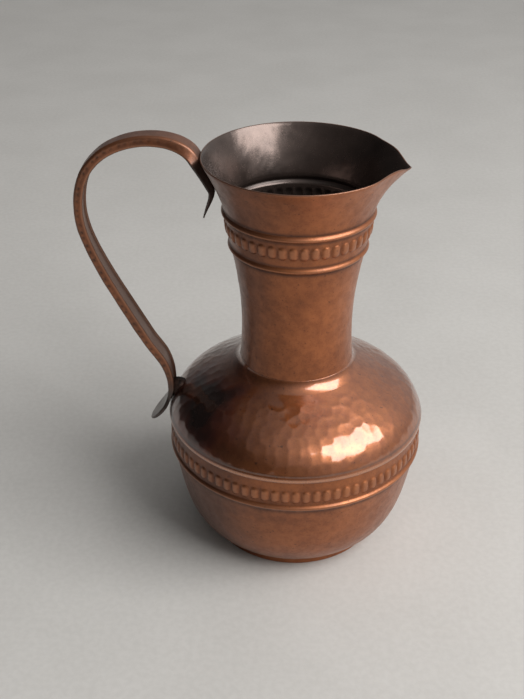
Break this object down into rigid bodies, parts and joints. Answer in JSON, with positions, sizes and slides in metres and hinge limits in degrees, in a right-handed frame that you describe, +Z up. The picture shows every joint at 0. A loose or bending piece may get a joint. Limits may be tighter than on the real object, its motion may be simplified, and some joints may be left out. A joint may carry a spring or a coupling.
{
  "type": "water jug",
  "caption": "Hammered copper pouring jug with a round body, tall waisted neck, flared mouth with a pinched lip, beaded bands and a folded strap handle.",
  "frame": {"origin": "on the jug's axis, in the plane of the table under its foot ring", "axes": "+Z up along the jug's axis, +X towards the pouring lip, -X towards the handle"},
  "size_m": [0.208, 0.158, 0.2623],
  "materials": {
    "copper": "brown patinated copper, satin, lightly planished",
    "polished_copper": "brown patinated copper, glossy, hammered in small facets",
    "handle_copper": "dark brown patinated copper, satin, with punched edges",
    "solder": "darkened solder",
    "braze": "blackened braze"
  },
  "bodies": {
    "root": {"foot_ring": "copper", "foot_solder": "solder", "lower_bowl": "copper", "belly_solder": "solder", "shoulder": "polished_copper", "neck_solder": "solder", "neck_and_mouth": "copper", "handle": "handle_copper", "rim_braze": "braze", "belly_braze": "braze"}
  },
  "joints": []
}
